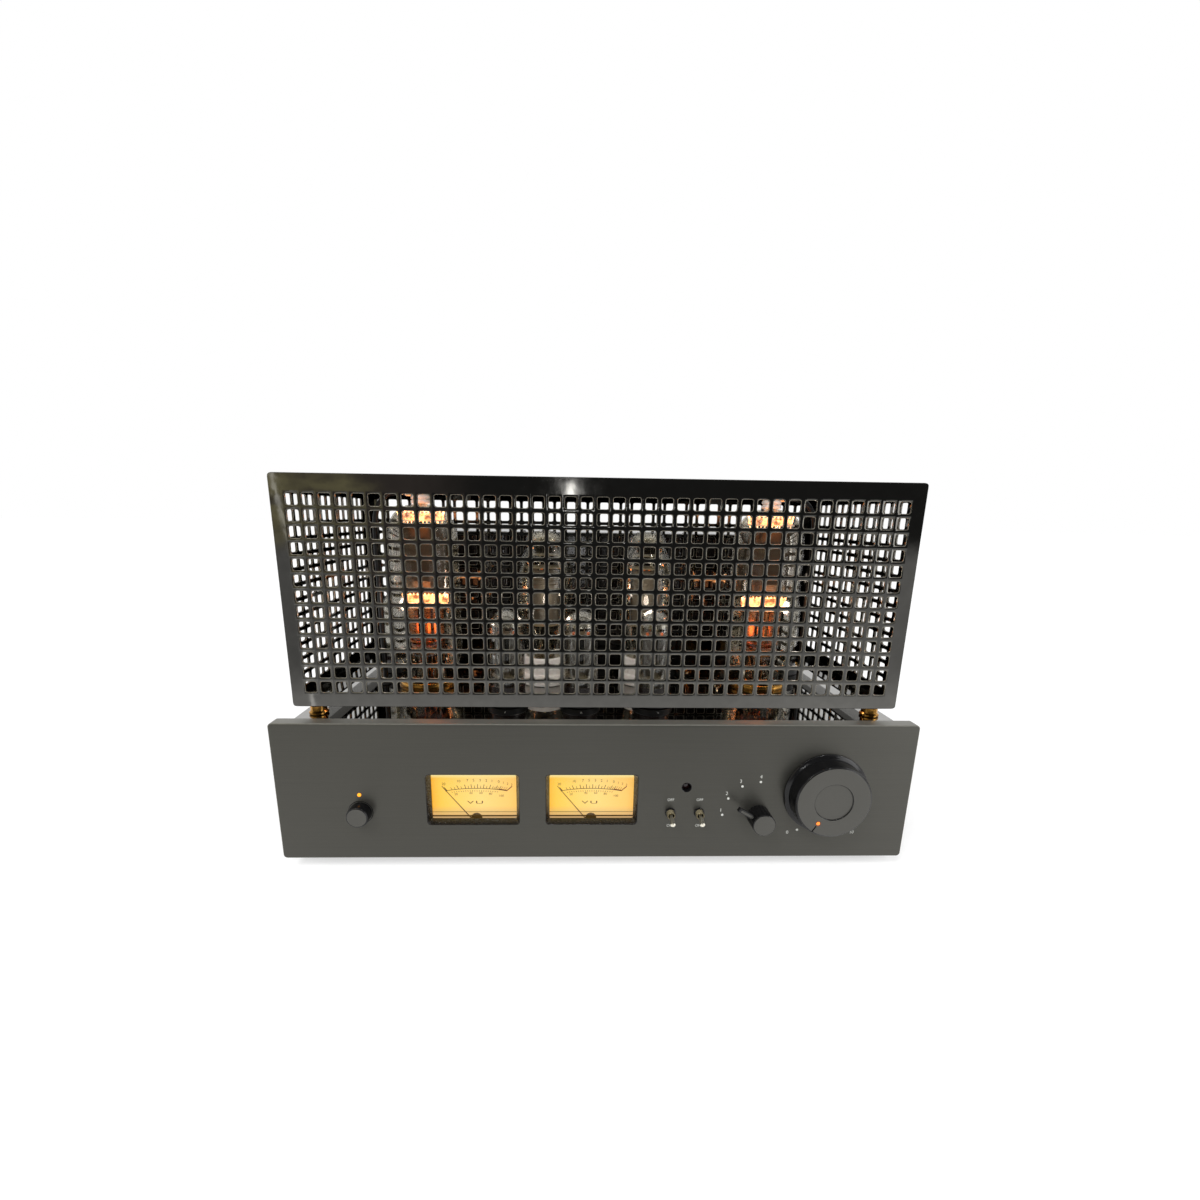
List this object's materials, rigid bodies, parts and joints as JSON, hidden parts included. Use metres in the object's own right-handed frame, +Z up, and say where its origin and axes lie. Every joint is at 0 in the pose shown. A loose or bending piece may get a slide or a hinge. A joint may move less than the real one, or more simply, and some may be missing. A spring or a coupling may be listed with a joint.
{
  "type": "integrated amplifier",
  "caption": "Valve integrated amplifier with a thick front panel, lit meters, turning and push controls, valves under a lift-off perforated cage, and transformer covers behind.",
  "frame": {"origin": "on the table under the middle of the whole amplifier, halfway along its width and its depth", "axes": "+Z up, front panel facing -Y, +X towards the volume knob, which is on the right seen from the front"},
  "size_m": [0.48, 0.3958, 0.2943],
  "materials": {
    "anodised_panel": "dark grey anodised, brushed across",
    "gloss_black_steel": "gloss black paint",
    "black_steel": "semi-gloss black paint",
    "black_knob": "black anodised",
    "brass": "polished",
    "chrome": "polished plating",
    "clear_glass": "clear",
    "silvered_glass": "silvered inside",
    "white_ceramic": "glazed ceramic",
    "meter_face": "amber lit dial",
    "amber_lens": "translucent",
    "dark_lens": "smoked",
    "needle_black": "matt paint",
    "rubber": "matt",
    "black_plastic": "matt",
    "green_board": "glass-fibre board",
    "laminated_iron": "varnished laminations"
  },
  "bodies": {
    "chassis": {"front_panel": "anodised_panel", "chassis_tray": "gloss_black_steel", "rear_panel": "black_steel", "bottom_cover": "black_steel", "front_left_foot": "rubber", "front_right_foot": "rubber", "rear_left_foot": "rubber", "rear_right_foot": "rubber", "left_meter_case": "meter_face", "right_meter_case": "meter_face", "left_meter_window": "clear_glass", "right_meter_window": "clear_glass", "power_indicator": "amber_lens", "remote_sensor": "dark_lens", "power_switch": "black_plastic", "selector_switch": "black_steel", "volume_control": "black_steel", "left_toggle_switch": "chrome", "right_toggle_switch": "chrome", "left_output_transformer_cover": "black_steel", "mains_transformer_cover": "black_steel", "right_output_transformer_cover": "black_steel", "left_output_transformer_core": "laminated_iron", "mains_transformer_core": "laminated_iron", "right_output_transformer_core": "laminated_iron", "left_output_bulb": "clear_glass", "right_output_bulb": "clear_glass", "left_output_base": "brass", "right_output_base": "brass", "left_anode_lead": "white_ceramic", "right_anode_lead": "white_ceramic", "left_driver_bulb": "clear_glass", "right_driver_bulb": "clear_glass", "left_driver_base": "white_ceramic", "right_driver_base": "white_ceramic", "left_front_small_valve": "silvered_glass", "middle_front_small_valve": "silvered_glass", "right_front_small_valve": "silvered_glass", "left_rear_small_valve": "silvered_glass", "right_rear_small_valve": "silvered_glass", "circuit_board": "green_board", "mains_inlet": "black_plastic", "input_jacks": "black_plastic", "left_speaker_terminals": "black_plastic", "right_speaker_terminals": "black_plastic", "front_left_pillar": "brass", "front_right_pillar": "brass", "rear_left_pillar": "brass", "rear_right_pillar": "brass"},
    "cage": {"cage_wrap": "gloss_black_steel", "cage_front": "gloss_black_steel", "cage_rear": "gloss_black_steel"},
    "volume": {"volume_knob": "black_knob"},
    "selector": {"selector_knob": "black_knob"},
    "power": {"power_button": "black_knob"},
    "left_toggle": {"left_toggle_lever": "chrome"},
    "right_toggle": {"right_toggle_lever": "chrome"},
    "left_needle": {"left_meter_needle": "needle_black"},
    "right_needle": {"right_meter_needle": "needle_black"}
  },
  "joints": [
    {"name": "cage_lift", "type": "slide", "parent": "chassis", "child": "cage", "axis": [0, 0, 1], "range_m": [0, 0.2]},
    {"name": "volume_turn", "type": "hinge", "parent": "chassis", "child": "volume", "pos_m": [0.174, -0.1824, 0.065], "axis": [0, 1, 0], "range_deg": [0, 300]},
    {"name": "selector_turn", "type": "hinge", "parent": "chassis", "child": "selector", "pos_m": [0.1235, -0.1824, 0.0464], "axis": [0, 1, 0], "range_deg": [-30, 60]},
    {"name": "power_press", "type": "slide", "parent": "chassis", "child": "power", "axis": [0, 1, 0], "range_m": [0, 0.003], "stiffness_N_per_m": 300, "springref_m": -0.003},
    {"name": "left_toggle_flip", "type": "hinge", "parent": "chassis", "child": "left_toggle", "pos_m": [0.0556, -0.1851, 0.0485], "axis": [-1, 0, 0], "range_deg": [0, 28]},
    {"name": "right_toggle_flip", "type": "hinge", "parent": "chassis", "child": "right_toggle", "pos_m": [0.0778, -0.1851, 0.0485], "axis": [-1, 0, 0], "range_deg": [0, 28]},
    {"name": "left_needle_swing", "type": "hinge", "parent": "chassis", "child": "left_needle", "pos_m": [-0.0942, -0.1682, 0.03], "axis": [0, 1, 0], "range_deg": [0, 77], "stiffness_Nm_per_rad": 0.0002, "springref_deg": -28.65},
    {"name": "right_needle_swing", "type": "hinge", "parent": "chassis", "child": "right_needle", "pos_m": [-0.0046, -0.1682, 0.03], "axis": [0, 1, 0], "range_deg": [0, 77], "stiffness_Nm_per_rad": 0.0002, "springref_deg": -28.65}
  ]
}
